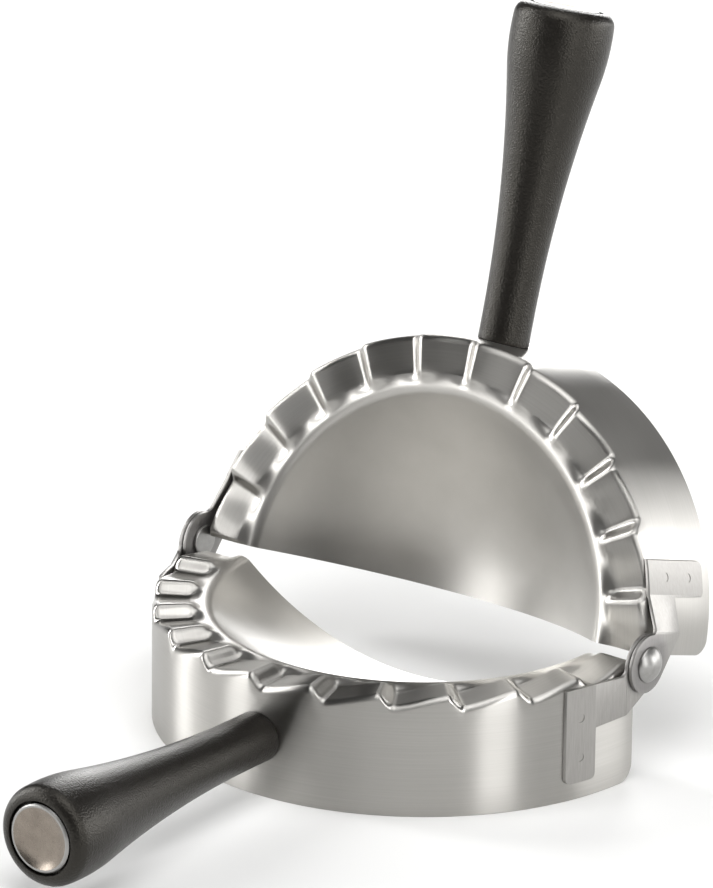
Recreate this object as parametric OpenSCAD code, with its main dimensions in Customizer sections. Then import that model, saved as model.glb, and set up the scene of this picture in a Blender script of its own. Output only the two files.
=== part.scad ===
// Empanada press in stainless steel with moulded handles.
// Two identical half shells, each with a bowl, a fluted crimping rim and a cutting
// skirt, fold on two riveted hinges. The front half lies on the table and the back
// half stands half open. All lengths are in millimetres, all angles in degrees.

/* [Pose] */
// Angle of the back half above the flat, fully open position
open_angle = 72; // [0:1:85]

/* [Shell] */
// Outer radius of the skirt, which cuts the round of dough
shell_r = 70; // [60:0.5:85]
// Thickness of the pressed sheet
sheet_t = 1; // [0.8:0.05:1.2]
// Height of the hinge axis above the cutting edge
hinge_h = 32.2; // [31:0.1:40]
// Width of the saw cut that parts the two halves
saw_cut = 3.5; // [3:0.1:5]
// Radius of the two lower corners of a skirt
end_corner_r = 5; // [1:0.5:8]

/* [Fluted rim] */
// Number of flutes on one half
flute_count = 12; // [8:1:14]
// Height from the foot to the crest of a flute
flute_h = 3; // [1:0.1:3.2]
// Arc taken by the steep side of a flute
steep_arc = 3.7; // [2.5:0.1:6]
// Turn of the steep sides away from the middle of the rim
flute_turn = 0.95; // [0:0.05:1.1]
// Radial length of the full flutes
flute_len = 9; // [6:0.5:11]
// Depth of the mean rim below the hinge axis
rim_drop = 0.5; // [0.45:0.05:1.5]
// Outer radius of the edge rolled between skirt and rim
roll_r = 1.8; // [1.4:0.1:2.2]

/* [Bowl] */
// Radius at which the bowl leaves the rim
bowl_r = 57; // [50:0.5:58]
// Depth of the bowl below the mean rim
bowl_depth = 20; // [12:0.5:24]
// Radius of the bend between rim and bowl
bowl_bend_r = 5; // [3:0.5:8]

/* [Hinge leaf] */
// Thickness of a leaf
leaf_t = 1; // [0.8:0.05:1.2]
// Distance from the hinge axis to the near side of the welded strip
strip_from = 17; // [15:0.1:20]
// Width of the welded strip, seen from the side
strip_w = 9; // [7:0.1:12]
// Depth of the strip below the hinge axis
strip_depth = 27.2; // [20:0.1:30]
// Radius of the lower corners of the strip
strip_corner_r = 1.6; // [0.5:0.1:3]
// Depth of the top edge of strip and arm below the hinge axis
arm_top = 1.2; // [1:0.1:3]
// Depth of the lower edge of the arm where it leaves the strip
arm_low = 13.2; // [10:0.1:16]
// Distance from the hinge axis to the bend between ear and arm
ear_bend_at = 7.7; // [7:0.1:9]
// Inner radius of that bend
ear_bend_r = 1.5; // [0.5:0.1:3]
// Depth of the lower edge of the ear at that bend
ear_low = 11.9; // [9:0.1:13]
// Radius of the ear about the rivet
ear_r = 7.7; // [6.5:0.1:8.5]
// Radius in the corner between ear and arm
ear_fillet_r = 2; // [0.5:0.1:3]
// Play between the skirt and a welded strip
weld_play = 0.05; // [0.02:0.01:0.1]
// Diameter of a spot weld dimple
weld_d = 2.4; // [1:0.1:4]
// Depth of a spot weld dimple
weld_depth = 0.15; // [0.05:0.01:0.3]
// Depth of the upper spot weld below the hinge axis
weld_high = 9.4; // [6:0.1:12]
// Depth of the lower spot weld below the hinge axis
weld_low = 20.3; // [16:0.1:24]

/* [Rivet] */
// Diameter of the rivet shank
rivet_d = 5; // [4:0.1:6]
// Radial play of the shank in the ears
rivet_play = 0.05; // [0.02:0.01:0.1]
// Diameter of the domed head
head_d = 9.6; // [8:0.1:11]
// Height of the domed head
head_h = 2.9; // [1.5:0.1:3.5]
// Height of the straight edge under the dome
head_edge = 0.5; // [0.2:0.1:0.8]
// Diameter of the flattened tail
tail_d = 8.6; // [7:0.1:10]
// Thickness of the flattened tail
tail_t = 0.85; // [0.5:0.05:1]
// Play between the skirt and the tail
tail_play = 0.35; // [0.2:0.05:0.6]
// Thickness of the spacer washer between the ears
spacer_t = 0.3; // [0.2:0.05:0.5]
// Diameter of the spacer washer
spacer_d = 9.4; // [8:0.1:12]

/* [Handle] */
// Length of the grip from the skirt to its flat end
grip_len = 90; // [70:1:120]
// Depth of the handle axis below the hinge axis, where it leaves the skirt
grip_drop = 15.8; // [14:0.1:17]
// Tilt of the handle, which rises from the skirt towards its end
grip_tilt = 1.1; // [0:0.1:3]
// Diameter of the grip at the skirt
root_d = 13.7; // [12:0.1:16]
// Length of the plain neck before the flare
neck_len = 7.2; // [4:0.1:12]
// Largest diameter of the grip
grip_d = 27; // [22:0.1:30]
// Distance of the largest diameter from the end of the grip
bulge_back = 7.2; // [6:0.1:12]
// Radius along the bulge
bulge_r = 64.5; // [30:0.5:100]
// Radius of the edge round the end of the grip
butt_r = 3.5; // [2:0.1:4]
// Play between the saddle of the grip and the skirt
saddle_play = 0.05; // [0.02:0.01:0.2]

/* [End cap] */
// Diameter of the recess in the end of the grip
recess_d = 19.6; // [18:0.1:20]
// Depth of that recess
recess_depth = 2.6; // [1.5:0.1:4]
// Diameter of the steel disc in the recess
cap_d = 17.9; // [15:0.1:18]
// Thickness of the disc
cap_t = 2.7; // [1.6:0.1:4]
// Depth of the dished face of the disc
cap_dish = 0.55; // [0.2:0.05:1]
// Width of the flat lip round the dished face
cap_lip = 0.5; // [0.3:0.05:1]
// Bevel round the disc
cap_bevel = 0.5; // [0.2:0.05:1]
// Diameter of the stem that holds the disc
stem_d = 8; // [5:0.1:10]
// Length of the stem
stem_len = 16; // [8:0.5:24]
// Play of a stem or an insert in the grip
bore_play = 0.05; // [0.02:0.01:0.1]

/* [Handle fixing] */
// Diameter of the screw shank
screw_d = 5; // [4:0.1:6]
// Play of the screw in shell, washer and insert
screw_play = 0.05; // [0.02:0.01:0.2]
// Length of the screw shank beyond the skirt
screw_len = 11; // [8:0.5:16]
// Diameter of the screw head
screw_head_d = 9; // [8:0.1:10]
// Height of the screw head
screw_head_h = 3; // [2:0.1:4]
// Width of the cross slot in the screw head
drive_w = 1.1; // [0.8:0.1:1.4]
// Length of the cross slot in the screw head
drive_len = 4.6; // [3:0.1:5]
// Depth of the cross slot in the screw head
drive_depth = 1.6; // [1:0.1:1.8]
// Diameter of the saddle washer
washer_d = 12; // [10:0.1:14]
// Thickness of the saddle washer on its centre line
washer_t = 1.2; // [1:0.1:2]
// Diameter of the threaded insert
insert_d = 8; // [7:0.1:9]
// Length of the threaded insert
insert_len = 14; // [10:0.5:18]
// Depth of the groove round the insert
insert_groove = 0.5; // [0.3:0.05:0.8]

/* [Hidden] */
$fn = 96;

steel = [0.78, 0.78, 0.77];
dark_steel = [0.62, 0.62, 0.62];
charcoal = [0.16, 0.16, 0.16];
brass = [0.80, 0.66, 0.34];

// Half the saw cut, which is how far each shell stops short of the hinge axis
half_cut = saw_cut / 2;
// Overlap that lets one shape bite into another before they are joined
bite = 0.03;
// Length by which a cutting shape runs past what it cuts
past = 1;

// Inner face of the inner ear, and of the outer ear beyond the spacer
inner_ear_x = shell_r + tail_play + tail_t;
outer_ear_x = inner_ear_x + leaf_t + spacer_t;
// Outer face of the outer ear, where the rivet head sits
head_x = outer_ear_x + leaf_t;

// Distance of the bulge from the skirt
bulge_at = grip_len - bulge_back;
// Radius of the flare that runs from the neck into the bulge without a kink
flare_run = bulge_at - neck_len;
flare_rise = (grip_d - root_d) / 2;
flare_r = (flare_run * flare_run + flare_rise * flare_rise) / (2 * flare_rise) - bulge_r;
// Centres of flare, bulge and end edge, as distance from the handle axis and from the skirt
flare_c = [root_d / 2 + flare_r, neck_len];
bulge_c = [grip_d / 2 - bulge_r, bulge_at];
butt_run = grip_len - butt_r - bulge_at;
butt_c = [bulge_c.x + sqrt(pow(bulge_r - butt_r, 2) - butt_run * butt_run), grip_len - butt_r];
// Distance from the skirt at which the flare runs into the bulge
meet_at = neck_len + flare_run * flare_r / (flare_r + bulge_r);

// Bowl radius, and height of its centre above the mean rim
bowl_lift = (bowl_r * bowl_r - bowl_depth * bowl_depth) / (2 * bowl_depth) - bowl_bend_r;
bowl_sphere_r = bowl_lift + bowl_depth;
// Slope of the bowl where it meets the bend
bowl_slope = atan2(bowl_r, bowl_lift + bowl_bend_r);

// Angle taken by one flute, and angle of one crest, from +X towards -Y
flute_pitch = 180 / flute_count;
crest_angle = 90 + flute_turn + steep_arc / 2;
// Depth below the hinge axis at which the plain skirt ends and the fluted rim begins
skirt_top = rim_drop + flute_h / 2 + roll_r + 0.6;

// Depth of the middle of the front grip's end, and how far the cap stands out of it
cap_proud = cap_t - recess_depth;
// Outer corner of the cap, as distance from the handle axis and from the skirt
cap_corner = [cap_d / 2 - cap_bevel, grip_len + cap_proud];
// Reach of the front handle and of the raised back handle from the hinge axis
front_edge_reach = shell_r + butt_c.y * cos(grip_tilt) + butt_c.x * sin(grip_tilt) + butt_r;
front_cap_reach = shell_r + cap_corner.y * cos(grip_tilt) + cap_corner.x * sin(grip_tilt);
front_reach = max(front_edge_reach, front_cap_reach);
rise_angle = open_angle + grip_tilt;
back_root_reach = shell_r * cos(open_angle) + grip_drop * sin(open_angle);
back_edge_reach = butt_c.y * cos(rise_angle) + butt_c.x * sin(rise_angle) + butt_r;
back_cap_reach = cap_corner.y * cos(rise_angle) + cap_corner.x * sin(rise_angle);
back_reach = back_root_reach + max(back_edge_reach, back_cap_reach);
// Place of the hinge axis that puts the origin below the middle of the press
hinge_y = (front_reach - back_reach) / 2;

// Places the child shapes on the hinge axis, as the front half or the back half
module on_front() {
    translate([0, hinge_y, hinge_h]) children();
}

module on_back() {
    translate([0, hinge_y, hinge_h]) rotate([open_angle, 0, 0]) rotate([0, 0, 180]) children();
}

// Turns a shape so that its Z axis runs out along the handle
module along_handle() {
    translate([0, -shell_r, -grip_drop])
        rotate([90 - grip_tilt, 0, 0])
            translate([0, 0, -shell_r]) children();
}

// Turns a shape so that its Z axis runs out along the hinge axis
module along_hinge() {
    rotate([0, 90, 0]) children();
}

// A flat wedge from the origin between two angles less than 120 degrees apart
module wedge(reach, from, to) {
    far = reach / cos((to - from) / 4);
    mid = (from + to) / 2;
    polygon([
        [0, 0],
        far * [cos(from), sin(from)],
        far * [cos(mid), sin(mid)],
        far * [cos(to), sin(to)]
    ]);
}

// A flat ring sector
module ring_sector(inner, outer, from, to) {
    intersection() {
        difference() {
            circle(outer);
            circle(inner);
        }
        wedge(outer + past, from, to);
    }
}

// What rounding takes away from a square corner at the origin
module corner_cut(r) {
    difference() {
        translate([-past, -past]) square(r + past);
        translate([r, r]) circle(r);
    }
}

// Height of the flutes at an angle, from -flute_h / 2 to flute_h / 2. Each flute drops
// steeply from its crest and then climbs slowly to the next one, like a rope.
function wave(a) =
    let (run = (((crest_angle - a) % flute_pitch) + flute_pitch) % flute_pitch)
    run < steep_arc
        ? flute_h / 2 * cos(180 * run / steep_arc)
        : let (u = (run - steep_arc) / (flute_pitch - steep_arc))
            flute_h * (0.7 * u + 0.15 * (1 - cos(180 * u)) - 0.5);

// Angles at which the rim is sampled, closer together on the steep sides
function rim_angles() =
    let (
        steep_steps = [for (i = [0:3]) steep_arc * i / 4],
        ramp_steps = [for (i = [0:4]) steep_arc + (flute_pitch - steep_arc) * i / 5],
        first = crest_angle + flute_pitch * ceil((180 - crest_angle) / flute_pitch)
    )
    concat(
        [180],
        [
            for (k = [0:flute_count + 1], step = concat(steep_steps, ramp_steps))
                let (a = first - k * flute_pitch - step)
                if (a > 0.2 && a < 179.8) a
        ],
        [0]
    );

// Section of the rim at an angle, as a closed loop of [radius, height]. It starts with a
// lip inside the wall of the skirt and ends with a lip inside the wall of the bowl.
function rim_section(a) =
    let (
        outer = shell_r - bite,
        lip_t = sheet_t - 2 * bite,
        top = wave(a) - rim_drop,
        roll = [outer - roll_r, top - roll_r],
        full = shell_r - flute_len,
        fade = [for (f = [1, 0.78, 0.22, 0]) wave(a) * f - rim_drop]
    )
    concat(
        [[outer, -skirt_top - 1]],
        [for (t = [0:30:90]) roll + roll_r * [cos(t), sin(t)]],
        [for (i = [0:3]) [full + (bowl_r - full) * i / 3, fade[i]]],
        [for (t = [0.35, 0.65]) [bowl_r - 1, -rim_drop - t * sheet_t]],
        [for (i = [3:-1:0]) [full + (bowl_r - full) * i / 3, fade[i] - sheet_t]],
        [for (t = [90:-45:0]) roll + [(roll_r - lip_t) * cos(t), (roll_r - sheet_t) * sin(t)]],
        [[outer - lip_t, -skirt_top - 1]]
    );

// The fluted rim as a skin over its sections
module rim() {
    angles = rim_angles();
    n = len(rim_section(0));
    last = len(angles) - 1;
    points = [
        for (a = angles, p = rim_section(a)) [p.x * cos(a), -p.x * sin(a), p.y]
    ];
    sides = [
        for (i = [0:last - 1], j = [0:n - 1])
            let (k = (j + 1) % n)
            each [
                [i * n + j, i * n + k, (i + 1) * n + k],
                [i * n + j, (i + 1) * n + k, (i + 1) * n + j]
            ]
    ];
    ends = [[for (j = [n - 1:-1:0]) j], [for (j = [0:n - 1]) last * n + j]];
    polyhedron(points, concat(sides, ends), convexity = 12);
}

// The plain bowl: a spherical cap with a bend up into the rim
module bowl() {
    lap_angle = 0.15;
    cap_c = [0, bowl_lift - rim_drop];
    bend_c = [bowl_r, -rim_drop - bowl_bend_r];
    rotate_extrude($fn = 180)
        translate(cap_c)
            intersection() {
                ring_sector(
                    bowl_sphere_r,
                    bowl_sphere_r + sheet_t,
                    -90,
                    bowl_slope - 90 + lap_angle,
                    $fn = 360
                );
                translate([0, -2 * bowl_sphere_r]) square(4 * bowl_sphere_r);
            }
    rotate_extrude($fn = 180)
        translate(bend_c)
            ring_sector(bowl_bend_r - sheet_t + bite, bowl_bend_r - bite, 90, 90 + bowl_slope);
}

// The plain half of the drawn ring that stands on the table and cuts the dough
module skirt() {
    rotate_extrude($fn = 180)
        translate([shell_r - sheet_t, -hinge_h])
            square([sheet_t, hinge_h - skirt_top]);
}

// What the saw and the corner cutter take away from both ends of a half shell
module end_cuts() {
    reach = shell_r + past;
    translate([-reach, -half_cut, -hinge_h - past])
        cube([2 * reach, reach + half_cut, hinge_h + flute_h + 2 * past]);
    translate([-reach, -half_cut, -hinge_h])
        rotate([90, 0, 90])
            linear_extrude(2 * reach)
                mirror([1, 0]) corner_cut(end_corner_r);
}

// One half shell, drawn in one piece from sheet and sawn off
module shell() {
    color(steel)
        difference() {
            union() {
                skirt();
                rim();
                bowl();
            }
            end_cuts();
            along_handle()
                translate([0, 0, shell_r - sheet_t - past])
                    cylinder(d = screw_d + 2 * screw_play, h = sheet_t + 2 * past);
        }
}

// Extrudes every child shape by itself
module extrude_each(height) {
    for (i = [0:$children - 1])
        linear_extrude(height) children(i);
}

// Leaf seen from above: ear, bend, slanting arm and welded strip, each let into the next
module leaf_plan(ear_x, height) {
    strip_r = shell_r + weld_play;
    near = asin(strip_from / strip_r);
    far = asin((strip_from + strip_w) / strip_r);
    let_in = 0.3;
    end_angle = near + asin(let_in / strip_r);
    bend_c = [ear_x - ear_bend_r, -ear_bend_at];
    to_arm = (strip_r + bite) * [cos(end_angle), -sin(end_angle)] - bend_c;
    bend = -atan2(to_arm.y, to_arm.x) - acos(ear_bend_r / norm(to_arm));
    out = [cos(bend), -sin(bend)];
    along = [-sin(bend), -cos(bend)];
    extrude_each(height) {
        translate([ear_x, -ear_bend_at - let_in])
            square([leaf_t, ear_bend_at + let_in + ear_r + past]);
        translate(bend_c)
            ring_sector(ear_bend_r + bite, ear_bend_r + leaf_t - bite, -bend, 0);
        polygon([
            bend_c + ear_bend_r * out - let_in * along,
            bend_c + (ear_bend_r + leaf_t) * out - let_in * along,
            (strip_r + leaf_t - bite) * [cos(end_angle), -sin(end_angle)],
            (strip_r + bite) * [cos(end_angle), -sin(end_angle)]
        ]);
        ring_sector(strip_r, strip_r + leaf_t, -far, -near, $fn = 360);
    }
}

// Leaf seen along the hinge axis, as [towards the back, up]
module leaf_outline(height) {
    corner = [-ear_bend_at, -ear_low];
    tangent = atan2(corner.y, corner.x) + acos((ear_r - bite) / norm(corner));
    strip_to = strip_from + strip_w;
    fillet_c = [
        -sqrt(pow(ear_r + ear_fillet_r, 2) - pow(ear_fillet_r - arm_top, 2)),
        ear_fillet_r - arm_top
    ];
    extrude_each(height) {
        circle(ear_r);
        polygon([
            [0, -arm_top],
            (ear_r - bite) * [cos(tangent), sin(tangent)],
            corner,
            [-strip_from, -arm_low],
            [-strip_from - strip_w / 2, -arm_low],
            [-strip_from - strip_w / 2, -arm_top]
        ]);
        difference() {
            polygon([[0, 0], fillet_c, [fillet_c.x, -arm_top - past], [0, -arm_top - past]]);
            translate(fillet_c) circle(ear_fillet_r + bite);
        }
        difference() {
            translate([-strip_to, -strip_depth]) square([strip_w, strip_depth - arm_top]);
            for (side = [0, 1])
                translate([-strip_from - side * strip_w, -strip_depth])
                    mirror([1 - side, 0]) corner_cut(strip_corner_r);
        }
    }
}

// One hinge leaf on the +X side, cut and bent from sheet, with two spot welds
module leaf(ear_x) {
    weld_angle = asin((strip_from + strip_w / 2) / shell_r);
    weld_face = shell_r + weld_play + leaf_t - weld_depth;
    color(steel)
        difference() {
            intersection() {
                translate([0, 0, -strip_depth - past])
                    leaf_plan(ear_x, strip_depth + ear_r + 2 * past);
                translate([shell_r / 2, 0, 0]) rotate([90, 0, 90]) leaf_outline(shell_r);
            }
            along_hinge()
                translate([0, 0, ear_x - past])
                    cylinder(d = rivet_d + 2 * rivet_play, h = leaf_t + 2 * past);
            for (depth = [weld_high, weld_low])
                rotate([0, 0, -weld_angle])
                    translate([weld_face, 0, -depth])
                        along_hinge() cylinder(d = weld_d, h = weld_depth + past, $fn = 32);
        }
}

// On each half the +X ear lies inside and the -X ear outside, so two like halves fit
module leaf_inner() {
    leaf(inner_ear_x);
}

module leaf_outer() {
    mirror([1, 0, 0]) leaf(outer_ear_x);
}

// Outline of the grip, as [distance from its axis, distance from the skirt]
module grip_profile() {
    along = (butt_c - bulge_c) / norm(butt_c - bulge_c);
    beyond = grip_d / 2 + past;
    difference() {
        union() {
            translate([0, -2 * past]) square([root_d / 2, neck_len + 2 * past]);
            difference() {
                translate([0, neck_len]) square([beyond, meet_at - neck_len]);
                translate(flare_c) circle(flare_r, $fn = 1440);
            }
            intersection() {
                translate([0, meet_at]) square([beyond, grip_len - meet_at]);
                translate(bulge_c) circle(bulge_r, $fn = 720);
            }
        }
        difference() {
            polygon([
                butt_c,
                butt_c + (butt_r + 2 * past) * along,
                [beyond, grip_len + past],
                [butt_c.x, grip_len + past]
            ]);
            translate(butt_c) circle(butt_r);
        }
    }
}

// The moulded grip, with a saddle against the skirt and a recess for the end cap
module grip() {
    color(charcoal)
        difference() {
            along_handle()
                translate([0, 0, shell_r])
                    difference() {
                        rotate_extrude() grip_profile();
                        translate([0, 0, grip_len - recess_depth])
                            cylinder(d = recess_d, h = recess_depth + past);
                        translate([0, 0, grip_len - recess_depth - stem_len - 2 * bore_play])
                            cylinder(d = stem_d + 2 * bore_play, h = stem_len + recess_depth);
                        translate([0, 0, -3 * past])
                            cylinder(
                                d = insert_d + 2 * bore_play,
                                h = insert_len + 3 * past + saddle_play + 2 * bore_play
                            );
                    }
            translate([0, 0, -hinge_h - past])
                cylinder(r = shell_r + saddle_play, h = hinge_h + past, $fn = 360);
        }
}

// The dished steel disc in the end of the grip, on its stem
module end_cap() {
    face_r = cap_d / 2 - cap_bevel - cap_lip;
    dish_r = (face_r * face_r + cap_dish * cap_dish) / (2 * cap_dish);
    color(dark_steel)
        along_handle()
            translate([0, 0, shell_r + grip_len - recess_depth])
                rotate_extrude()
                    difference() {
                        union() {
                            polygon([
                                [0, 0],
                                [cap_d / 2, 0],
                                [cap_d / 2, cap_t - cap_bevel],
                                [cap_d / 2 - cap_bevel, cap_t],
                                [0, cap_t]
                            ]);
                            translate([0, -stem_len]) square([stem_d / 2, stem_len + cap_t / 2]);
                        }
                        translate([0, cap_t - cap_dish + dish_r]) circle(dish_r, $fn = 720);
                    }
}

// The threaded brass insert moulded into the root of the grip, with its thread left plain
module insert() {
    color(brass)
        along_handle()
            translate([0, 0, shell_r + saddle_play])
                difference() {
                    cylinder(d = insert_d, h = insert_len);
                    translate([0, 0, -past])
                        cylinder(d = screw_d + 2 * screw_play, h = insert_len + 2 * past);
                    translate([0, 0, insert_len / 3])
                        difference() {
                            cylinder(d = insert_d + past, h = insert_len / 3);
                            translate([0, 0, -past])
                                cylinder(
                                    d = insert_d - 2 * insert_groove,
                                    h = insert_len / 3 + 2 * past
                                );
                        }
                }
}

// The saddle washer, curved to the inside of the skirt and flat under the screw head
module washer() {
    color(steel)
        intersection() {
            along_handle()
                translate([0, 0, shell_r - sheet_t - washer_t])
                    difference() {
                        cylinder(d = washer_d, h = washer_t + past);
                        translate([0, 0, -past])
                            cylinder(d = screw_d + 2 * screw_play, h = washer_t + 3 * past);
                    }
            translate([0, 0, -hinge_h])
                cylinder(r = shell_r - sheet_t - saddle_play, h = hinge_h, $fn = 360);
        }
}

// The pan head screw that pulls the grip on to the skirt, with its thread left plain
module screw() {
    seat = shell_r - sheet_t - washer_t;
    dome_r = screw_head_d * screw_head_d / (8 * screw_head_h) + screw_head_h / 2;
    color(dark_steel)
        along_handle()
            difference() {
                union() {
                    translate([0, 0, seat])
                        cylinder(d = screw_d, h = sheet_t + washer_t + screw_len);
                    translate([0, 0, seat - screw_head_h])
                        intersection() {
                            cylinder(d = screw_head_d - bite, h = screw_head_h);
                            translate([0, 0, dome_r]) sphere(dome_r);
                        }
                }
                for (turn = [0, 90])
                    translate([0, 0, seat - screw_head_h + drive_depth / 2])
                        rotate([0, 0, turn])
                            cube([drive_len, drive_w, drive_depth + bite], center = true);
            }
}

// A hinge rivet on the +X side, from its flattened tail to its domed head
module rivet() {
    dome_h = head_h - head_edge;
    dome_r = (head_d * head_d / 4 + dome_h * dome_h) / (2 * dome_h);
    color(dark_steel)
        along_hinge()
            rotate_extrude() {
                translate([0, inner_ear_x - tail_t]) square([tail_d / 2, tail_t]);
                translate([0, inner_ear_x - tail_t / 2])
                    square([rivet_d / 2, head_x - inner_ear_x + tail_t]);
                translate([0, head_x]) square([head_d / 2, head_edge]);
                intersection() {
                    translate([0, head_x + head_h - dome_r]) circle(dome_r, $fn = 180);
                    translate([0, head_x + head_edge]) square([head_d / 2, dome_h + past]);
                }
            }
}

// The thin washer that keeps the two ears of a hinge apart
module spacer() {
    color(dark_steel)
        along_hinge()
            translate([0, 0, inner_ear_x + leaf_t])
                difference() {
                    cylinder(d = spacer_d, h = spacer_t);
                    translate([0, 0, -past])
                        cylinder(d = rivet_d + 2 * rivet_play, h = spacer_t + 2 * past);
                }
}

on_front() shell();  // front_shell
on_front() leaf_inner();  // front_leaf_right
on_front() leaf_outer();  // front_leaf_left
on_front() grip();  // front_grip
on_front() end_cap();  // front_end_cap
on_front() insert();  // front_insert
on_front() washer();  // front_washer
on_front() screw();  // front_screw
on_back() shell();  // back_shell
on_back() leaf_outer();  // back_leaf_right
on_back() leaf_inner();  // back_leaf_left
on_back() grip();  // back_grip
on_back() end_cap();  // back_end_cap
on_back() insert();  // back_insert
on_back() washer();  // back_washer
on_back() screw();  // back_screw
on_front() rivet();  // hinge_rivet_right
on_front() mirror([1, 0, 0]) rivet();  // hinge_rivet_left
on_front() spacer();  // hinge_spacer_right
on_front() mirror([1, 0, 0]) spacer();  // hinge_spacer_left
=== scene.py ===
from math import asin, atan2, copysign, cos, degrees, hypot, pi, radians, sin, sqrt

import bmesh
import bpy
from mathutils import Matrix, Vector


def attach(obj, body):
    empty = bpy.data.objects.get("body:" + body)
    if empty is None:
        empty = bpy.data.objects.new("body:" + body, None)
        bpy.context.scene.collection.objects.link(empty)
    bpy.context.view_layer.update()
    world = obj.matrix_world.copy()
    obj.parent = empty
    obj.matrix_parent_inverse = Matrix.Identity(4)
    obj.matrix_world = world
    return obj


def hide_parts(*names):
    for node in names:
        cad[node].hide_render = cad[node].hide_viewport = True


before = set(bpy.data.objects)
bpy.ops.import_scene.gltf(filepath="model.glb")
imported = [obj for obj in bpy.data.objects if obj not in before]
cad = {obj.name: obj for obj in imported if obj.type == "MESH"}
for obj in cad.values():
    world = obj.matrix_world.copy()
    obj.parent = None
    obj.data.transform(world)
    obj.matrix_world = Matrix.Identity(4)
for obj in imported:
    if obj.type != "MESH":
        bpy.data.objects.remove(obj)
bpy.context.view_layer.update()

# The half shells. Each is one drawing of 1 mm stainless sheet: a shallow bowl, a fluted
# crimping rim, an edge rolled over and a skirt with a cutting foot. The drawn round is
# sawn in two, and the lower corners of each half are rounded. Sizes are in millimetres.
MM = 0.001
WELD = 1e-6
HINGE = Vector((0, 42.74066, 32.2)) * MM
OPEN_ANGLE = radians(72)
SKIRT_R = 70
SHEET = 1
FOOT = -32.2
FOOT_ROUND = 0.2
RIM = -0.5
ROLL_R = 1.8
BOWL_R = 57
BOWL_BEND_R = 5
BOWL_SPHERE_R = 86.225
BOWL_CENTRE = 65.725
BOWL_SLOPE = 38.67
BOWL_STEP = 3
SAW_HALF = 1.75
CORNER_R = 5
FLUTES_FROM = 61
FLUTES_FADE = -9
FLUTE_H = 3
FLUTE_PITCH = 15
FLUTE_EVEN = 0.7
STEEP_ARC = 3.7
CREST_ANGLE = 92.8

front_place = Matrix.Translation(HINGE)
turned_round = Matrix.Rotation(pi, 4, "Z")
back_place = front_place @ Matrix.Rotation(OPEN_ANGLE, 4, "X") @ turned_round


def arc(centre, radius, start, end, steps):
    """Points on an arc in the plane of a section, angles in degrees."""
    turns = [radians(start + (end - start) * i / steps) for i in range(steps + 1)]
    return [(centre[0] + radius * cos(t), centre[1] + radius * sin(t)) for t in turns]


def pick(piece):
    """Makes the piece the only one selected, and the active one."""
    bpy.ops.object.select_all(action="DESELECT")
    piece.select_set(True)
    bpy.context.view_layer.objects.active = piece


def turned(name, section, steps):
    """Draws a section in the XZ plane and spins it once round the Z axis."""
    bpy.ops.object.select_all(action="DESELECT")
    bpy.ops.mesh.primitive_plane_add(size=MM)
    piece = bpy.context.object
    piece.name = piece.data.name = name
    bpy.ops.object.mode_set(mode="EDIT")
    bpy.ops.mesh.merge(type="CENTER")
    at = Vector()
    for i, (r, z) in enumerate(section):
        to = Vector((r, 0, z)) * MM
        if i:
            bpy.ops.mesh.extrude_region_move(TRANSFORM_OT_translate={"value": to - at})
        else:
            bpy.ops.transform.translate(value=to)
        at = to
    bpy.ops.mesh.select_all(action="SELECT")
    bpy.ops.mesh.spin(steps=steps, angle=2 * pi, center=(0, 0, 0), axis=(0, 0, 1))
    bpy.ops.mesh.select_all(action="SELECT")
    bpy.ops.mesh.remove_doubles(threshold=WELD)
    bpy.ops.mesh.normals_make_consistent(inside=False)
    if bmesh.from_edit_mesh(piece.data).calc_volume(signed=True) < 0:
        bpy.ops.mesh.flip_normals()
    bpy.ops.object.mode_set(mode="OBJECT")
    return piece


def flute(angle):
    """Height of the flutes at an angle from +X towards the grip, in degrees."""
    run = (CREST_ANGLE - angle) % FLUTE_PITCH
    if run < STEEP_ARC:
        return FLUTE_H / 2 * cos(pi * run / STEEP_ARC)
    u = (run - STEEP_ARC) / (FLUTE_PITCH - STEEP_ARC)
    swung = (1 - cos(pi * u)) / 2
    return FLUTE_H * (FLUTE_EVEN * u + (1 - FLUTE_EVEN) * swung - 0.5)


skirt_levels = (-24, -16, -9, -6)
rim_rings = (66, 64, 62.5)
roll_centre = (SKIRT_R - ROLL_R, RIM - ROLL_R)
bend_centre = (BOWL_R, RIM - BOWL_BEND_R)
bowl_from = BOWL_SLOPE - BOWL_STEP - 90
bend_end = 90 + BOWL_SLOPE
top_skin = (
    arc(roll_centre, ROLL_R, 0, 90, 8)
    + [(r, RIM) for r in rim_rings]
    + [(FLUTES_FROM - i, RIM) for i in range(4)]
    + arc(bend_centre, BOWL_BEND_R, 90, bend_end, 6)
    + arc((0, BOWL_CENTRE), BOWL_SPHERE_R, bowl_from, -90, 20)
)
under_skin = (
    arc((0, BOWL_CENTRE), BOWL_SPHERE_R + SHEET, -90, bowl_from, 20)
    + arc(bend_centre, BOWL_BEND_R - SHEET, bend_end, 90, 4)
    + [(FLUTES_FROM - i, RIM - SHEET) for i in (3, 2, 1, 0)]
    + [(r, RIM - SHEET) for r in reversed(rim_rings)]
    + arc(roll_centre, ROLL_R - SHEET, 90, 0, 4)
)
foot_inside = (SKIRT_R - SHEET + FOOT_ROUND, FOOT + FOOT_ROUND)
foot_outside = (SKIRT_R - FOOT_ROUND, FOOT + FOOT_ROUND)
section = (
    [(SKIRT_R, z) for z in skirt_levels]
    + top_skin
    + under_skin
    + [(SKIRT_R - SHEET, z) for z in reversed(skirt_levels)]
    + arc(foot_inside, FOOT_ROUND, 180, 270, 3)
    + arc(foot_outside, FOOT_ROUND, 270, 360, 3)
)
# The loop of the section starts and ends at the axis, on the two poles of the bowl
pole = section.index(top_skin[-1])
section = section[pole + 1:] + section[:pole + 1]

front_shell = turned("front_shell_sheet", section, steps=720)
front_shell.data.transform(Matrix.Rotation(radians(CREST_ANGLE), 4, "Z"))

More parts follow.
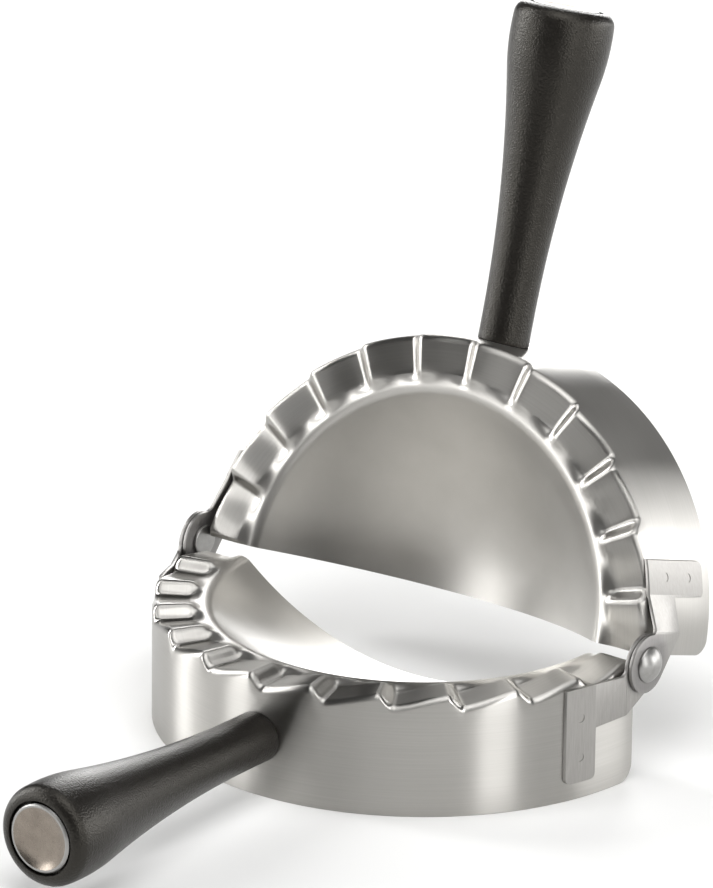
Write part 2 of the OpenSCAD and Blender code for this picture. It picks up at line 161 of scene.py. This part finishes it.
# The press dies lift the rim into flutes that lean like the strands of a rope. They rise
# from nothing at the bowl, and die away down the skirt.
for v in front_shell.data.vertices:
    r = hypot(v.co.x, v.co.y) / MM
    z = v.co.z / MM
    if r > BOWL_R and z > FLUTES_FADE:
        lift = 1
        if r < FLUTES_FROM:
            lift = 0.5 - 0.5 * cos(pi * (r - BOWL_R) / (FLUTES_FROM - BOWL_R))
        elif r > SKIRT_R - SHEET - 0.01:
            lift = min(1, (z - FLUTES_FADE) / (RIM - ROLL_R - FLUTES_FADE))
        v.co.z += lift * flute(degrees(atan2(-v.co.y, v.co.x))) * MM

# The saw parts the round, and small bites round off each lower corner
pick(front_shell)
bpy.ops.object.mode_set(mode="EDIT")
corner = Vector((0, -SAW_HALF - CORNER_R, FOOT + CORNER_R))
cuts = [(Vector((0, -SAW_HALF, 0)), Vector((0, 1, 0)))]
for t in range(5, 90, 10):
    out = Vector((0, cos(radians(t)), -sin(radians(t))))
    cuts.append((corner + CORNER_R * out, out))
for point, out in cuts:
    bpy.ops.mesh.select_all(action="SELECT")
    bpy.ops.mesh.bisect(
        plane_co=point * MM,
        plane_no=out,
        use_fill=True,
        clear_outer=True,
        threshold=1e-7,
    )
bpy.ops.mesh.select_all(action="SELECT")
bpy.ops.mesh.remove_doubles(threshold=WELD)
bpy.ops.object.mode_set(mode="OBJECT")

# A hole behind the root of the grip takes the fixing screw. It is drilled in line with
# the grip, which rises a little from the skirt.
GRIP_DROP = 15.8
GRIP_TILT = radians(1.1)
SCREW_HOLE_R = 2.55
DRILL_LEN = 6
bpy.ops.object.select_all(action="DESELECT")
bpy.ops.mesh.primitive_cylinder_add(
    vertices=48,
    radius=SCREW_HOLE_R * MM,
    depth=DRILL_LEN * MM,
    location=(0, -SKIRT_R * MM, -GRIP_DROP * MM),
    rotation=(pi / 2 - GRIP_TILT, 0, 0),
)
drill = bpy.context.object
pick(front_shell)
hole = front_shell.modifiers.new("screw_hole", "BOOLEAN")
hole.operation, hole.solver, hole.object = "DIFFERENCE", "EXACT", drill
bpy.ops.object.modifier_apply(modifier=hole.name)
bpy.data.objects.remove(drill)

# Brush marks run round the ring, so the sheet carries a map of arc length and of radius
# or height, both in millimetres
turning = front_shell.data.uv_layers.new(name="turning")
for face in front_shell.data.polygons:
    middle = atan2(-face.center.y, face.center.x)
    skirt = hypot(face.center.x, face.center.y) > (SKIRT_R - ROLL_R) * MM
    for loop in face.loop_indices:
        at = front_shell.data.vertices[front_shell.data.loops[loop].vertex_index].co
        r = hypot(at.x, at.y) / MM
        angle = atan2(-at.y, at.x) if r > 0.01 else middle
        turning.data[loop].uv = (angle * SKIRT_R, at.z / MM - r if skirt else -r)


def new_material(name):
    """A new material, and the shader that its nodes feed."""
    material = bpy.data.materials.new(name)
    material.use_nodes = True
    return material, material.node_tree.nodes["Principled BSDF"]


def feed(node, sockets):
    """Gives each socket that is named a value or a link."""
    for name, value in sockets.items():
        if isinstance(value, bpy.types.NodeSocket):
            node.id_data.links.new(value, node.inputs[name])
        else:
            node.inputs[name].default_value = value


def add(material, kind, sockets=None, **settings):
    """Adds a node with its settings and links."""
    node = material.node_tree.nodes.new(kind)
    for name, value in settings.items():
        setattr(node, name, value)
    feed(node, sockets or {})
    return node


def colour(code):
    """A colour written in sRGB hex, as Blender's linear values."""
    parts = [int(code[i:i + 2], 16) / 255 for i in (1, 3, 5)]
    linear = [p / 12.92 if p <= 0.04045 else ((p + 0.055) / 1.055) ** 2.4 for p in parts]
    return (*linear, 1)


# Stainless steel 18/10, brushed round the ring on a lathe: reflections smear along the
# axis into upright bands, and hands have left it a little duller in places. Real marks
# are 0.1 mm wide and are drawn 0.4 mm wide to show.
MARK_LENGTH = 40
MARK_WIDTH = 0.4
HANDLED_SPOT = 18
brushed, skin = new_material("brushed_stainless_steel")
chart = add(brushed, "ShaderNodeUVMap", uv_map="turning")
marks = add(
    brushed,
    "ShaderNodeMapping",
    {"Vector": chart.outputs["UV"], "Scale": (1 / MARK_LENGTH, 1 / MARK_WIDTH, 1)},
)
streaks = add(
    brushed,
    "ShaderNodeTexNoise",
    {"Vector": marks.outputs["Vector"], "Scale": 1, "Detail": 3, "Roughness": 0.65},
)
tone = add(
    brushed,
    "ShaderNodeMix",
    {"Factor": streaks.outputs["Fac"], "A": colour("#a8a6a2"), "B": colour("#bbb9b5")},
    data_type="RGBA",
)
place = add(brushed, "ShaderNodeTexCoord")
smears = add(
    brushed,
    "ShaderNodeTexNoise",
    {"Vector": place.outputs["Object"], "Scale": 1 / (HANDLED_SPOT * MM), "Detail": 2},
)
wear = add(
    brushed,
    "ShaderNodeMapRange",
    {"Value": smears.outputs["Fac"], "To Min": 0.27, "To Max": 0.34},
)
grooves = add(
    brushed,
    "ShaderNodeBump",
    {"Height": streaks.outputs["Fac"], "Strength": 0.25, "Distance": 0.02 * MM},
)
lay = add(brushed, "ShaderNodeTangent", direction_type="UV_MAP", uv_map="turning")
feed(
    skin,
    {
        "Metallic": 1,
        "Anisotropic": 1,
        "Anisotropic Rotation": 0.25,
        "Base Color": tone.outputs["Result"],
        "Roughness": wear.outputs["Result"],
        "Normal": grooves.outputs["Normal"],
        "Tangent": lay.outputs["Tangent"],
    },
)

# The press die leaves the bowl a plain satin skin, without the marks of the lathe: near
# white metal with a fine grain, and soft clouds where the lubricant was wiped off.
PRESS_CLOUD = 14
PRESS_GRAIN = 0.6
pressed, skin = new_material("pressed_stainless_steel")
place = add(pressed, "ShaderNodeTexCoord")
clouds = add(
    pressed,
    "ShaderNodeTexNoise",
    {"Vector": place.outputs["Object"], "Scale": 1 / (PRESS_CLOUD * MM), "Detail": 4},
)
tone = add(
    pressed,
    "ShaderNodeMix",
    {"Factor": clouds.outputs["Fac"], "A": colour("#a8a6a2"), "B": colour("#bbb9b5")},
    data_type="RGBA",
)
sheen = add(
    pressed,
    "ShaderNodeMapRange",
    {"Value": clouds.outputs["Fac"], "To Min": 0.3, "To Max": 0.38},
)
grain = add(
    pressed,
    "ShaderNodeTexNoise",
    {"Vector": place.outputs["Object"], "Scale": 1 / (PRESS_GRAIN * MM), "Detail": 2},
)
relief = add(
    pressed,
    "ShaderNodeBump",
    {"Height": grain.outputs["Fac"], "Strength": 0.15, "Distance": 0.02 * MM},
)
feed(
    skin,
    {
        "Metallic": 1,
        "Base Color": tone.outputs["Result"],
        "Roughness": sheen.outputs["Result"],
        "Normal": relief.outputs["Normal"],
    },
)

pick(front_shell)
bpy.ops.object.shade_smooth_by_angle(angle=radians(32))
front_shell.data.materials.append(brushed)
front_shell.data.materials.append(pressed)
for face in front_shell.data.polygons:
    r = hypot(face.center.x, face.center.y) / MM
    face.material_index = r < FLUTES_FROM - 1


def like_piece(piece, name, place):
    """A copy of a finished piece with its own mesh, put in another place."""
    copy = piece.copy()
    copy.data = piece.data.copy()
    copy.name = copy.data.name = name
    copy.data.transform(place)
    bpy.context.scene.collection.objects.link(copy)
    return copy


back_shell = like_piece(front_shell, "back_shell_sheet", back_place)
front_shell.data.transform(front_place)
for piece, half in ((front_shell, "front"), (back_shell, "back")):
    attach(piece, half + "_half")
    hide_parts(half + "_shell")

# The hinge leaves. Each is cut and bent from 1 mm stainless sheet, with an ear for the
# rivet and a strip that two spot welds hold to the skirt. The tumbler has eased their
# edges.

# Satin stainless steel: a darker grey and a rougher sheen near the hinge axis, on the
# ears, and a lighter grey and a smoother sheen on the strips. Fine rubbing marks run
# along the skirt, and are drawn 0.5 mm wide to show.
RUB_WIDTH = 0.5
RUB_LENGTH = 6
DULL_TO = 6.5
BRIGHT_FROM = 9
satin, skin = new_material("satin_stainless_steel")
place = add(satin, "ShaderNodeTexCoord")
rubbing = add(
    satin,
    "ShaderNodeMapping",
    {
        "Vector": place.outputs["Object"],
        "Scale": (1 / (RUB_WIDTH * MM), 1 / (RUB_WIDTH * MM), 1 / (RUB_LENGTH * MM)),
    },
)
pits = add(
    satin,
    "ShaderNodeTexNoise",
    {"Vector": rubbing.outputs["Vector"], "Scale": 1, "Detail": 3, "Roughness": 0.6},
)
across = add(
    satin,
    "ShaderNodeVectorMath",
    {0: place.outputs["Object"], 1: (0, 1, 1)},
    operation="MULTIPLY",
)
from_axis = add(
    satin,
    "ShaderNodeVectorMath",
    {0: across.outputs["Vector"], 1: HINGE},
    operation="DISTANCE",
)
off_ear = add(
    satin,
    "ShaderNodeMapRange",
    {
        "Value": from_axis.outputs["Value"],
        "From Min": DULL_TO * MM,
        "From Max": BRIGHT_FROM * MM,
    },
)
near_axis_tone = add(
    satin,
    "ShaderNodeMix",
    {"Factor": pits.outputs["Fac"], "A": colour("#7f7d7c"), "B": colour("#949291")},
    data_type="RGBA",
)
off_axis_tone = add(
    satin,
    "ShaderNodeMix",
    {"Factor": pits.outputs["Fac"], "A": colour("#918f8c"), "B": colour("#a8a6a3")},
    data_type="RGBA",
)
# The grey steps from darker near the hinge axis, on the ears, to lighter on the strips
tone = add(
    satin,
    "ShaderNodeMix",
    {
        "Factor": off_ear.outputs["Result"],
        "A": near_axis_tone.outputs["Result"],
        "B": off_axis_tone.outputs["Result"],
    },
    data_type="RGBA",
)
sheen = add(
    satin,
    "ShaderNodeMapRange",
    {"Value": off_ear.outputs["Result"], "To Min": 0.5, "To Max": 0.4},
)
relief = add(
    satin,
    "ShaderNodeBump",
    {"Height": pits.outputs["Fac"], "Strength": 0.2, "Distance": 0.03 * MM},
)
feed(
    skin,
    {
        "Metallic": 1,
        "Base Color": tone.outputs["Result"],
        "Roughness": sheen.outputs["Result"],
        "Normal": relief.outputs["Normal"],
    },
)

# The shears leave the cut edges of the sheet torn, and the edges are painted dark: a
# painted shade line round each leaf
TEAR = 0.4
shaded_edge, skin = new_material("steel_edge_painted_shade")
place = add(shaded_edge, "ShaderNodeTexCoord")
tears = add(
    shaded_edge,
    "ShaderNodeTexNoise",
    {"Vector": place.outputs["Object"], "Scale": 1 / (TEAR * MM), "Detail": 3},
)
# The dark greys of the cut edges are painted shade; the torn mottle in them is the edge's
# own
tone = add(
    shaded_edge,
    "ShaderNodeMix",
    {"Factor": tears.outputs["Fac"], "A": colour("#4a4847"), "B": colour("#6a6866")},
    data_type="RGBA",
)
sheen = add(
    shaded_edge,
    "ShaderNodeMapRange",
    {"Value": tears.outputs["Fac"], "To Min": 0.45, "To Max": 0.6},
)
feed(
    skin,
    {
        "Metallic": 1,
        "Base Color": tone.outputs["Result"],
        "Roughness": sheen.outputs["Result"],
    },
)

LEAF_R = 70.55
LEAF_EASE = 0.15
SHARP = 1
CUT_WIDTH = 0.55
STRIP_REACH = 0.6
SQUARE_ON = 0.999
for half, stand in (("front", front_place), ("back", back_place)):
    to_ring = stand.inverted()
    for side in ("right", "left"):
        node = cad[f"{half}_leaf_{side}"]
        leaf = like_piece(node, f"{half}_leaf_{side}_sheet", Matrix())
        for mark in [key for key in leaf.keys() if key.startswith("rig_")]:
            del leaf[mark]
        leaf.parent = None
        pick(leaf)
        bpy.ops.object.mode_set(mode="EDIT")
        bpy.ops.mesh.select_all(action="SELECT")
        bpy.ops.mesh.remove_doubles(threshold=WELD)
        bpy.ops.mesh.dissolve_limited(angle_limit=radians(0.5))
        # A cut edge is a face as wide as the sheet is thick between two sharp corners,
        # whose angles are in radians
        for face in bmesh.from_edit_mesh(leaf.data).faces:
            edges = [e for e in face.edges if e.calc_face_angle() > SHARP]
            sharp = sum(e.calc_length() for e in edges)
            face.material_index = face.calc_area() < CUT_WIDTH * MM * sharp
        bpy.ops.object.mode_set(mode="OBJECT")
        eased = leaf.modifiers.new("eased_edges", "BEVEL")
        eased.width, eased.segments = LEAF_EASE * MM, 2
        eased.limit_method, eased.angle_limit = "ANGLE", radians(40)
        bpy.ops.object.modifier_apply(modifier=eased.name)
        bpy.ops.object.shade_smooth_by_angle(angle=radians(30))
        # The strip is rolled to the ring, so it is shaded as round as the ring is
        normals = [Vector(n.vector) for n in leaf.data.corner_normals]
        for face in leaf.data.polygons:
            middle = (to_ring @ face.center) * Vector((1, 1, 0))
            facing = (to_ring.to_3x3() @ face.normal).dot(middle.normalized())
            on_strip = abs(middle.length - LEAF_R * MM) < STRIP_REACH * MM
            if on_strip and abs(facing) > SQUARE_ON:
                for loop in face.loop_indices:
                    corner = leaf.data.loops[loop].vertex_index
                    out = to_ring @ leaf.data.vertices[corner].co * Vector((1, 1, 0))
                    out *= copysign(1, facing) / out.length
                    normals[loop] = stand.to_3x3() @ out
        leaf.data.normals_split_custom_set(normals)
        leaf.data.materials.clear()
        leaf.data.materials.append(satin)
        # The cut edges take the second slot, the painted shade line
        leaf.data.materials.append(shaded_edge)
        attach(leaf, half + "_half")
        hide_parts(node.name)

# The hinge rivets and the thin spacers between the ears. A rivet is cold headed from
# stainless wire, put through both ears from outside and hammered flat inside.

# Stainless steel tumbled bright: a dome mirrors the room in a small soft curve, dented
# here and there
DENT = 1.2
bright, skin = new_material("tumbled_stainless_steel")
place = add(bright, "ShaderNodeTexCoord")
dents = add(
    bright,
    "ShaderNodeTexNoise",
    {"Vector": place.outputs["Object"], "Scale": 1 / (DENT * MM), "Detail": 2},
)
tone = add(
    bright,
    "ShaderNodeMix",
    {"Factor": dents.outputs["Fac"], "A": colour("#8f8e8c"), "B": colour("#a6a5a3")},
    data_type="RGBA",
)
sheen = add(
    bright,
    "ShaderNodeMapRange",
    {"Value": dents.outputs["Fac"], "To Min": 0.34, "To Max": 0.42},
)
relief = add(
    bright,
    "ShaderNodeBump",
    {"Height": dents.outputs["Fac"], "Strength": 0.1, "Distance": 0.05 * MM},
)
feed(
    skin,
    {
        "Metallic": 1,
        "Base Color": tone.outputs["Result"],
        "Roughness": sheen.outputs["Result"],
        "Normal": relief.outputs["Normal"],
    },
)

TAIL_AT = 70.35
TAIL_END = 71.2
TAIL_R = 4.3
TAIL_EASE = 0.15
PIN_R = 2.5
HEAD_AT = 73.5
HEAD_R = 4.8
HEAD_EDGE = 0.5
HEAD_EASE = 0.12
HEAD_H = 2.9
dome_h = HEAD_H - HEAD_EDGE
dome_r = (HEAD_R ** 2 + dome_h ** 2) / (2 * dome_h)
dome_end = degrees(asin((HEAD_R - HEAD_EASE) / dome_r))
rivet_section = (
    [(0, TAIL_AT), (TAIL_R - TAIL_EASE, TAIL_AT), (TAIL_R, TAIL_AT + TAIL_EASE)]
    + [(TAIL_R, TAIL_END - TAIL_EASE), (TAIL_R - TAIL_EASE, TAIL_END)]
    + [(PIN_R, TAIL_END), (PIN_R, HEAD_AT)]
    + [(HEAD_R - HEAD_EASE, HEAD_AT), (HEAD_R, HEAD_AT + HEAD_EASE)]
    + [(HEAD_R, HEAD_AT + HEAD_EDGE - 0.05)]
    + arc((0, HEAD_AT + HEAD_H - dome_r), dome_r, 90 - dome_end, 90, 14)
)
right_rivet = turned("hinge_rivet_right_pin", rivet_section, steps=64)
right_rivet.data.transform(Matrix.Rotation(pi / 2, 4, "Y"))
pick(right_rivet)
bpy.ops.object.shade_smooth_by_angle(angle=radians(35))
right_rivet.data.materials.append(bright)
left_rivet = like_piece(right_rivet, "hinge_rivet_left_pin", front_place @ turned_round)
right_rivet.data.transform(front_place)
for piece, side in ((right_rivet, "right"), (left_rivet, "left")):
    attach(piece, "front_half")
    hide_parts("hinge_rivet_" + side)
    cad["hinge_spacer_" + side].data.materials.clear()
    cad["hinge_spacer_" + side].data.materials.append(satin)

# The screws and saddle washers that hold the grips, seen from inside the skirt, and
# the threaded inserts moulded into the roots. The screws are cold headed and tumbled, the
# washers are punched, and the inserts are turned from brass.

# Free cutting brass, turned: a yellow metal that is a little brighter in some spots
BRASS_SPOT = 0.8
brass, skin = new_material("turned_brass")
place = add(brass, "ShaderNodeTexCoord")
spots = add(
    brass,
    "ShaderNodeTexNoise",
    {"Vector": place.outputs["Object"], "Scale": 1 / (BRASS_SPOT * MM), "Detail": 2},
)
tone = add(
    brass,
    "ShaderNodeMix",
    {"Factor": spots.outputs["Fac"], "A": colour("#c2a45c"), "B": colour("#d6bb78")},
    data_type="RGBA",
)
sheen = add(
    brass,
    "ShaderNodeMapRange",
    {"Value": spots.outputs["Fac"], "To Min": 0.25, "To Max": 0.4},
)
feed(
    skin,
    {
        "Metallic": 1,
        "Base Color": tone.outputs["Result"],
        "Roughness": sheen.outputs["Result"],
    },
)
for half in ("front", "back"):
    for part, finish in (("screw", bright), ("washer", satin), ("insert", brass)):
        node = cad[f"{half}_{part}"]
        node.data.materials.clear()
        node.data.materials.append(finish)

# The grips. Each is one charcoal nylon moulding that flares from a slim neck to a full
# end, with a saddle against the skirt and a round recess for the steel cap. The screw
# draws it to the skirt from inside.
GRIP_LEN = 90
ROOT_R = 6.85
NECK = 7.2
GRIP_R = 13.5
BULGE_AT = 82.8
BULGE_R = 64.5
BUTT_R = 3.5
RECESS_R = 9.8
RECESS_DEPTH = 2.6
BORE_R = 4.05
INSERT_DEPTH = 14.15
STEM_DEPTH = 16.1
GRIP_EASE = 0.35
SADDLE_GAP = 0.05
ROOT_ZONE = 0.5
rise = GRIP_R - ROOT_R
run = BULGE_AT - NECK
flare_r = (run ** 2 + rise ** 2) / (2 * rise) - BULGE_R
meet = degrees(asin(run / (flare_r + BULGE_R)))
butt_run = GRIP_LEN - BUTT_R - BULGE_AT
butt_rise = sqrt((BULGE_R - BUTT_R) ** 2 - butt_run ** 2)
butt_centre = (GRIP_R - BULGE_R + butt_rise, GRIP_LEN - BUTT_R)
butt_turn = degrees(asin(butt_run / (BULGE_R - BUTT_R)))
recess_floor = GRIP_LEN - RECESS_DEPTH
grip_section = (
    [(0, INSERT_DEPTH), (BORE_R, INSERT_DEPTH), (BORE_R, 0.1), (BORE_R, 0)]
    + [(ROOT_R - GRIP_EASE, 0), (ROOT_R - 0.1, 0.1), (ROOT_R, GRIP_EASE)]
    + [(ROOT_R, 1), (ROOT_R, 4)]
    + arc((ROOT_R + flare_r, NECK), flare_r, 180, 180 - meet, 22)
    + arc((GRIP_R - BULGE_R, BULGE_AT), BULGE_R, -meet, butt_turn, 14)[1:]
    + arc(butt_centre, BUTT_R, butt_turn, 90, 12)[1:]
    + arc((RECESS_R + GRIP_EASE, GRIP_LEN - GRIP_EASE), GRIP_EASE, 90, 180, 4)
    + [(RECESS_R, recess_floor), (BORE_R, recess_floor)]
    + [(BORE_R, recess_floor - STEM_DEPTH), (0, recess_floor - STEM_DEPTH)]
)
front_grip = turned("front_grip_moulding", grip_section, steps=128)
# The root is cut to a saddle that follows the skirt
for v in front_grip.data.vertices:
    if v.co.z < ROOT_ZONE * MM:
        saddle = sqrt((SKIRT_R + SADDLE_GAP) ** 2 - (v.co.x / MM) ** 2) - SKIRT_R
        v.co.z += (saddle * MM + v.co.y * sin(GRIP_TILT)) / cos(GRIP_TILT)
at_root = Matrix.Translation(Vector((0, -SKIRT_R, -GRIP_DROP)) * MM)
on_skirt = at_root @ Matrix.Rotation(pi / 2 - GRIP_TILT, 4, "X")

# Nylon moulded in a spark eroded tool, near black, with a fine grain that breaks up the
# sheen and a warm cast in its highlights. The grain is 0.15 mm and is drawn 0.5 mm wide
# to show.
NYLON_GRAIN = 0.5
NYLON_RUB = 12
nylon, skin = new_material("charcoal_nylon_moulding")
place = add(nylon, "ShaderNodeTexCoord")
grain = add(
    nylon,
    "ShaderNodeTexNoise",
    {"Vector": place.outputs["Object"], "Scale": 1 / (NYLON_GRAIN * MM), "Detail": 2},
)
rub = add(
    nylon,
    "ShaderNodeTexNoise",
    {"Vector": place.outputs["Object"], "Scale": 1 / (NYLON_RUB * MM), "Detail": 3},
)
tone = add(
    nylon,
    "ShaderNodeMix",
    {"Factor": grain.outputs["Fac"], "A": colour("#0b0908"), "B": colour("#1a1816")},
    data_type="RGBA",
)
sheen = add(
    nylon,
    "ShaderNodeMapRange",
    {"Value": rub.outputs["Fac"], "To Min": 0.27, "To Max": 0.34},
)
relief = add(
    nylon,
    "ShaderNodeBump",
    {"Height": grain.outputs["Fac"], "Strength": 1, "Distance": 0.18 * MM},
)
feed(
    skin,
    {
        "IOR": 1.43,
        "Specular Tint": colour("#fff9ec"),
        "Base Color": tone.outputs["Result"],
        "Roughness": sheen.outputs["Result"],
        "Normal": relief.outputs["Normal"],
    },
)

pick(front_grip)
bpy.ops.object.shade_smooth_by_angle(angle=radians(35))
front_grip.data.materials.append(nylon)
back_grip = like_piece(front_grip, "back_grip_moulding", back_place @ on_skirt)
front_grip.data.transform(front_place @ on_skirt)
for piece, half in ((front_grip, "front"), (back_grip, "back")):
    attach(piece, half + "_half")
    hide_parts(half + "_grip")

# The end caps. Each is a stainless disc on a stem, pressed into the grip: a satin face
# dished by the press, inside a bright chamfered edge, with a dark gap all round that is
# drawn as narrow as the real one looks.
CAP_R = 9.2
CAP_T = 2.7
CAP_DISH = 0.9
CAP_COVE_R = 12
CAP_SAG = 0.02
CAP_POLE_R = 0.5
CAP_LIP = 0.5
CAP_BEVEL = 0.5
CAP_EASE = 0.1
STEM_R = 4
STEM_LEN = 16
face_r = CAP_R - CAP_BEVEL - CAP_LIP
bevel_r = CAP_R - CAP_BEVEL
bevel_at = CAP_T - CAP_BEVEL
dish_floor = CAP_T - CAP_DISH
cove_run = sqrt(2 * CAP_COVE_R * CAP_DISH - CAP_DISH ** 2)
cove_turn = degrees(asin(cove_run / CAP_COVE_R))
cove_centre = (face_r - cove_run, dish_floor + CAP_COVE_R)
cap_section = (
    [(0, -STEM_LEN), (STEM_R, -STEM_LEN), (STEM_R, 0)]
    + [(CAP_R - CAP_EASE, 0), (CAP_R, CAP_EASE), (CAP_R, bevel_at - CAP_EASE)]
    + [(CAP_R - CAP_EASE / 2, bevel_at + CAP_EASE / 2)]
    + [(bevel_r + CAP_EASE / 2, CAP_T - CAP_EASE / 2), (bevel_r - CAP_EASE, CAP_T)]
    + [(face_r + CAP_EASE, CAP_T)]
    + arc(cove_centre, CAP_COVE_R, cove_turn - 90, -90, 8)
    + [(CAP_POLE_R, dish_floor - CAP_SAG), (0, dish_floor - CAP_SAG)]
)
front_cap = turned("front_end_cap_disc", cap_section, steps=96)
on_grip = on_skirt @ Matrix.Translation((0, 0, recess_floor * MM))

# Stainless steel with a bead blasted face: a soft, slightly mottled sheen, a little brown
# beside the bright edge
BEAD = 0.5
BLAST_CLOUD = 4
blasted, skin = new_material("bead_blasted_stainless_steel")
place = add(blasted, "ShaderNodeTexCoord")
beads = add(
    blasted,
    "ShaderNodeTexNoise",
    {"Vector": place.outputs["Object"], "Scale": 1 / (BEAD * MM), "Detail": 3},
)
clouds = add(
    blasted,
    "ShaderNodeTexNoise",
    {"Vector": place.outputs["Object"], "Scale": 1 / (BLAST_CLOUD * MM), "Detail": 2},
)
tone = add(
    blasted,
    "ShaderNodeMix",
    {"Factor": clouds.outputs["Fac"], "A": colour("#736b63"), "B": colour("#968d83")},
    data_type="RGBA",
)
sheen = add(
    blasted,
    "ShaderNodeMapRange",
    {"Value": beads.outputs["Fac"], "To Min": 0.24, "To Max": 0.32},
)
relief = add(
    blasted,
    "ShaderNodeBump",
    {"Height": beads.outputs["Fac"], "Strength": 0.3, "Distance": 0.03 * MM},
)
feed(
    skin,
    {
        "Metallic": 1,
        "Base Color": tone.outputs["Result"],
        "Roughness": sheen.outputs["Result"],
        "Normal": relief.outputs["Normal"],
    },
)

pick(front_cap)
bpy.ops.object.shade_smooth_by_angle(angle=radians(20))
front_cap.data.materials.append(blasted)
front_cap.data.materials.append(bright)
for face in front_cap.data.polygons:
    outside = hypot(face.center.x, face.center.y) > (face_r + 0.02) * MM
    face.material_index = outside and face.center.z > (bevel_at - 0.12) * MM
back_cap = like_piece(front_cap, "back_end_cap_disc", back_place @ on_grip)
front_cap.data.transform(front_place @ on_grip)
for piece, half in ((front_cap, "front"), (back_cap, "back")):
    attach(piece, half + "_half")
    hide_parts(half + "_end_cap")

# The table and the lamps. The press stands on a plain white laminate table, under one
# large soft lamp. Strips, cards and windows of light round it draw the bright bands of
# the brushed steel, and the dark room between them draws the dark ones.
bpy.ops.object.select_all(action="DESELECT")
bpy.ops.mesh.primitive_plane_add(size=24)
table = bpy.context.object
table.name = "table"
# Laminate, pale and matt: a plain ground that mirrors nothing
laminate, skin = new_material("white_laminate")
feed(
    skin,
    {"Base Color": colour("#f4f4f3"), "Roughness": 0.8, "Specular IOR Level": 0.2},
)
table.data.materials.append(laminate)

world = bpy.data.worlds.new("studio")
world.use_nodes = True
bpy.context.scene.world = world
room = world.node_tree.nodes["Background"]
feed(room, {"Color": colour("#ffffff"), "Strength": 0.07})


def lamp(name, azimuth, elevation, distance, width, height, radiance):
    """A soft box that looks at the press. Azimuth is from +X towards +Y, in degrees."""
    light = bpy.data.lights.new(name, "AREA")
    light.shape, light.size, light.size_y = "RECTANGLE", width, height
    light.energy = radiance * width * height * pi
    box = bpy.data.objects.new(name, light)
    a, e = radians(azimuth), radians(elevation)
    out = Vector((cos(a) * cos(e), sin(a) * cos(e), sin(e)))
    box.rotation_mode = "QUATERNION"
    box.rotation_quaternion = out.to_track_quat("Z", "Y")
    box.location = HINGE + out * distance
    box.visible_camera = False
    bpy.context.scene.collection.objects.link(box)


lamp("overhead", -20, 80, 1.5, 1.3, 1.3, 1.9)
lamp("left_strip", -168, 22, 1.6, 0.3, 1.3, 14)
lamp("left_card", -133, 13, 1.6, 0.34, 1, 8)
lamp("right_strip", -21, 22, 1.6, 0.44, 1.3, 5.6)
lamp("right_card", 29, 12, 1.6, 0.72, 0.7, 6)
lamp("right_window", 63, 8, 1.6, 0.87, 0.6, 4.3)
lamp("left_window", 121, 15, 1.6, 0.58, 1.14, 5.8)
lamp("front_fill", -60, 60, 1.6, 1.1, 0.7, 2.4)

# The camera. It stands where the photograph was taken from, with a long lens, and its
# aim passes a little beside and above the hinge. Lengths are in metres.
AZIMUTH, ELEVATION, ROLL = radians(36.19), radians(20.4), radians(0.65)
DISTANCE, BESIDE, ABOVE = 2.1334, -0.01626, 0.04105
ahead = Vector(
    (-sin(AZIMUTH) * cos(ELEVATION), cos(AZIMUTH) * cos(ELEVATION), -sin(ELEVATION))
)
level = Vector((cos(AZIMUTH), sin(AZIMUTH), 0))
upward = level.cross(ahead)
right = cos(ROLL) * level + sin(ROLL) * upward
top = cos(ROLL) * upward - sin(ROLL) * level
lens = bpy.data.cameras.new("camera")
lens.lens, lens.sensor_width = 328.97, 36
camera = bpy.data.objects.new("camera", lens)
camera.matrix_world = (
    Matrix.Translation(HINGE - DISTANCE * ahead + BESIDE * right + ABOVE * top)
    @ Matrix((right, top, -ahead)).transposed().to_4x4()
)
bpy.context.scene.collection.objects.link(camera)
bpy.context.scene.camera = camera
bpy.context.scene.view_settings.view_transform = "Standard"
